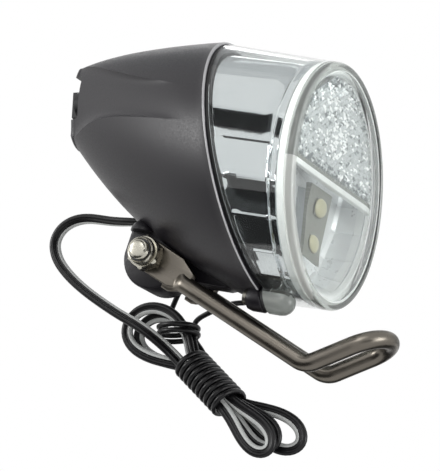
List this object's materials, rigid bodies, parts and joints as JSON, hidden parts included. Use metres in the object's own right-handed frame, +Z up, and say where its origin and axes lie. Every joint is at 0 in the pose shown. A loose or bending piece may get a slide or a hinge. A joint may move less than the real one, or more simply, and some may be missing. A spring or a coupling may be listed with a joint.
{
  "type": "bike headlight",
  "caption": "Bicycle headlight with a bullet housing, clear prism cap over a chromed reflector, a tilting wire bracket, a rear switch and a hanked twin lead.",
  "frame": {"origin": "middle of the bracket's eye, where the fork crown bolt passes", "axes": "+X the way the lamp shines, +Z up, +Y to the lamp's left"},
  "size_m": [0.1077, 0.0652, 0.1014],
  "materials": {
    "bracket_steel": "bright drawn, slightly olive",
    "plated_steel": "zinc plated",
    "black_nylon": "natural black",
    "housing_grey": "fine moulded grain",
    "lug_black": "semi-gloss moulded",
    "screw_steel": "plain",
    "clear_cap": "clear polished polycarbonate",
    "seal_rubber": "matte",
    "clear_prism": "prism grid",
    "reflector_chrome": "vacuum metallised",
    "led_board_grey": "satin",
    "led_phosphor": "yellow phosphor under clear resin",
    "sink_aluminium": "plain",
    "board_green": "solder mask",
    "capacitor_sleeve": "shrink sleeve",
    "package_black": "moulded",
    "terminal_brass": "plain",
    "knob_black": "moulded",
    "switch_grey": "moulded",
    "gland_rubber": "matte",
    "lead_black": "soft PVC, one strand striped light grey",
    "tie_black": "PVC coated"
  },
  "bodies": {
    "bracket": {"bracket_wire": "bracket_steel", "pivot_bolt": "plated_steel", "pivot_nut": "plated_steel", "nut_insert": "black_nylon"},
    "lamp": {"housing": "housing_grey", "pivot_block": "lug_black", "block_screws": "screw_steel", "front_cap": "clear_cap", "cap_seal": "seal_rubber", "cap_screw": "screw_steel", "prism_panel": "clear_prism", "reflector": "reflector_chrome", "led_board": "led_board_grey", "led_emitters": "led_phosphor", "led_heat_sink": "sink_aluminium", "driver_board": "board_green", "board_screws": "screw_steel", "smoothing_capacitor": "capacitor_sleeve", "rectifier": "package_black", "lead_terminals": "terminal_brass", "switch_bezel": "knob_black", "switch_body": "switch_grey", "cable_gland": "gland_rubber", "lead": "lead_black", "lead_hank": "lead_black", "tie_wire": "tie_black", "tie_winding": "tie_black", "hang_wire": "tie_black"},
    "knob": {"switch_knob": "knob_black"}
  },
  "joints": [
    {"name": "lamp_tilt", "type": "hinge", "parent": "bracket", "child": "lamp", "pos_m": [-0.05943, 0, 0.01436], "axis": [0, -1, 0], "range_deg": [0, 160]},
    {"name": "switch_turn", "type": "hinge", "parent": "lamp", "child": "knob", "pos_m": [-0.09237, 0, 0.05235], "axis": [-0.9816, 0, -0.1908], "range_deg": [0, 90]}
  ]
}
